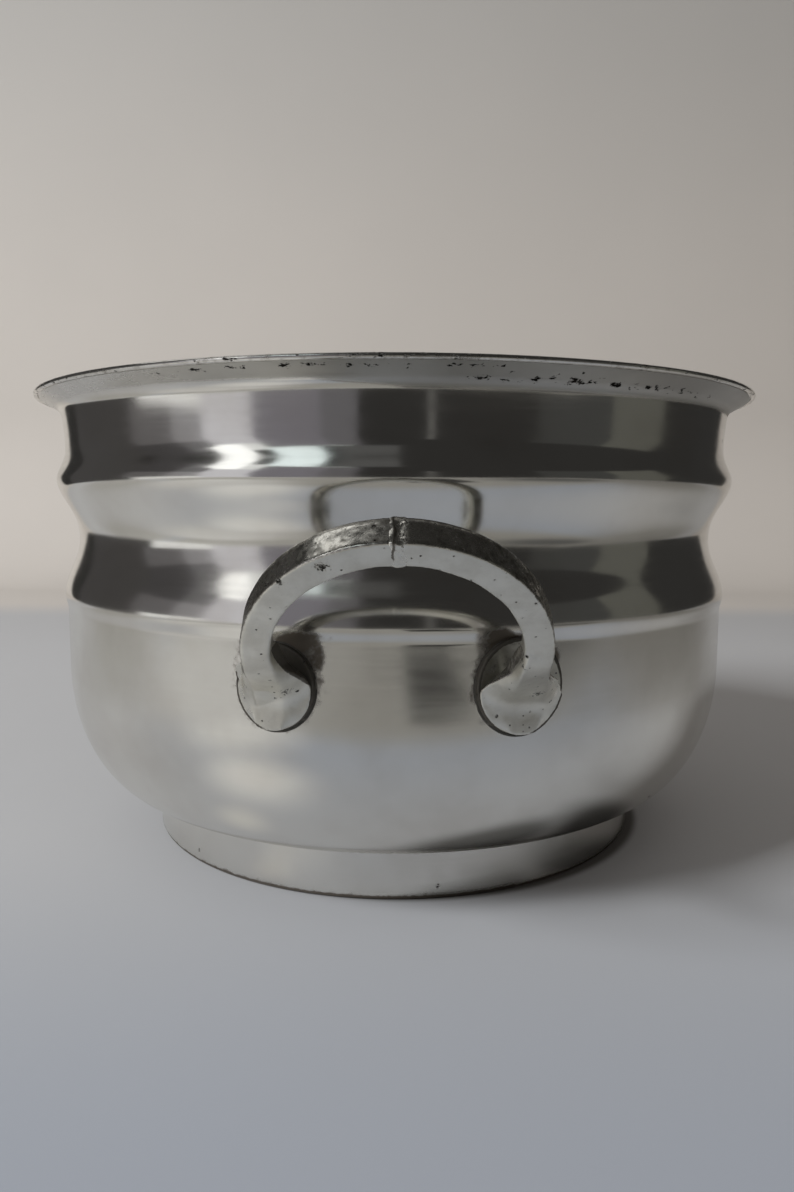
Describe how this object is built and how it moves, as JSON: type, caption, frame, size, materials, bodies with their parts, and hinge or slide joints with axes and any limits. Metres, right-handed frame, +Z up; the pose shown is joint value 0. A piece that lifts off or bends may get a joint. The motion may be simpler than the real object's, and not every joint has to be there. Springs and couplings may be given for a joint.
{
  "type": "two-handled cup",
  "caption": "Low round silver-plated cup with a flared lip, raised rings round the wall, a foot ring and loop handles on round pads.",
  "frame": {"origin": "on the table, on the axis of the bowl", "axes": "+Z up along the axis of the bowl, -Y towards the front handle, +X across"},
  "size_m": [0.12, 0.156, 0.0725],
  "materials": {
    "silver_sheet": "polished silver plate with fine scratches",
    "cast_silver": "cast silver plate, worn and pitted",
    "solder": "dull tarnished solder"
  },
  "bodies": {
    "root": {"bowl_shell": "silver_sheet", "rim_wire": "silver_sheet", "foot_ring": "silver_sheet", "foot_solder_seam": "solder", "front_handle_left_arm": "cast_silver", "front_handle_right_arm": "cast_silver", "front_handle_left_pad": "cast_silver", "front_handle_right_pad": "cast_silver", "front_handle_crown_solder": "solder", "front_handle_left_pad_solder": "solder", "front_handle_right_pad_solder": "solder", "back_handle_left_arm": "cast_silver", "back_handle_right_arm": "cast_silver", "back_handle_left_pad": "cast_silver", "back_handle_right_pad": "cast_silver", "back_handle_crown_solder": "solder", "back_handle_left_pad_solder": "solder", "back_handle_right_pad_solder": "solder"}
  },
  "joints": []
}
